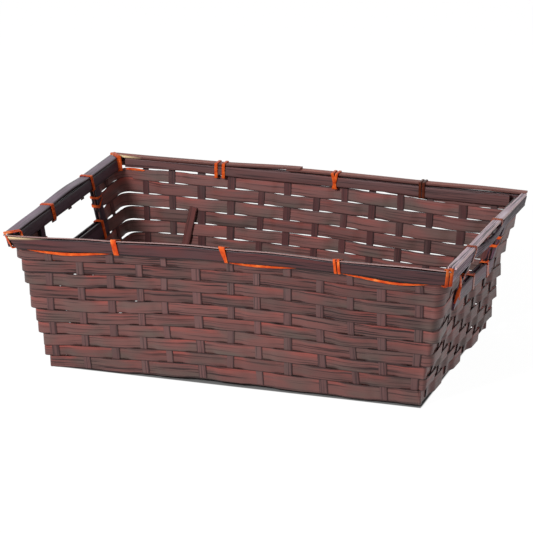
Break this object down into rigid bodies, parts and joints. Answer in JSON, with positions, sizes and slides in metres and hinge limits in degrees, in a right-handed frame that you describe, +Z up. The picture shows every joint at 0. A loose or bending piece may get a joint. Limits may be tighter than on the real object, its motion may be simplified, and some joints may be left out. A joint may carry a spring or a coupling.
{
  "type": "woven basket",
  "caption": "Rectangular woven bamboo basket with flared walls, a slatted and capped rim tied with orange cane, and a hand opening in each short side.",
  "frame": {"origin": "middle of the underside of the foot, where the lowest strips rest", "axes": "+X along the length, +Y from the front wall to the back wall, +Z up through the open top"},
  "size_m": [0.402, 0.242, 0.128],
  "materials": {
    "weaver": "stained split bamboo, matt with a slight sheen",
    "stake": "stained split bamboo, matt",
    "rim_slat": "stained bamboo slat, satin",
    "rim_cap": "stained bamboo strip, satin",
    "frame_slat": "stained bamboo slat, satin",
    "cane": "dyed cane, glossy",
    "brace": "stained bamboo slat, matt"
  },
  "bodies": {
    "root": {"weaver_row_01": "weaver", "weaver_row_02": "weaver", "weaver_row_03": "weaver", "weaver_row_04": "weaver", "weaver_row_05": "weaver", "weaver_row_06": "weaver", "weaver_row_07": "weaver", "weaver_row_08": "weaver", "weaver_row_09": "weaver", "weaver_row_10": "weaver", "rim_core_row": "weaver", "cross_stake_01": "stake", "cross_stake_02": "stake", "cross_stake_03": "stake", "cross_stake_04": "stake", "cross_stake_05": "stake", "cross_stake_06": "stake", "cross_stake_07": "stake", "cross_stake_08": "stake", "cross_stake_09": "stake", "cross_stake_10": "stake", "cross_stake_11": "stake", "cross_stake_12": "stake", "cross_stake_13": "stake", "long_stake_1": "stake", "long_stake_2": "stake", "long_stake_3": "stake", "long_stake_4": "stake", "long_stake_5": "stake", "long_stake_6": "stake", "long_stake_7": "stake", "foot_fillers": "weaver", "rim_outer_front": "rim_slat", "rim_outer_back": "rim_slat", "rim_outer_left": "rim_slat", "rim_outer_right": "rim_slat", "rim_inner_front": "rim_slat", "rim_inner_back": "rim_slat", "rim_inner_left": "rim_slat", "rim_inner_right": "rim_slat", "rim_cap_front": "rim_cap", "rim_cap_back": "rim_cap", "rim_cap_left": "rim_cap", "rim_cap_right": "rim_cap", "left_handle_uprights": "frame_slat", "right_handle_uprights": "frame_slat", "left_handle_bars": "frame_slat", "right_handle_bars": "frame_slat", "rim_stubs": "stake", "long_side_ties": "cane", "short_side_ties": "cane", "corner_ties": "cane", "handle_ties": "cane", "rim_lacing": "cane", "brace_left": "brace", "brace_right": "brace"}
  },
  "joints": []
}
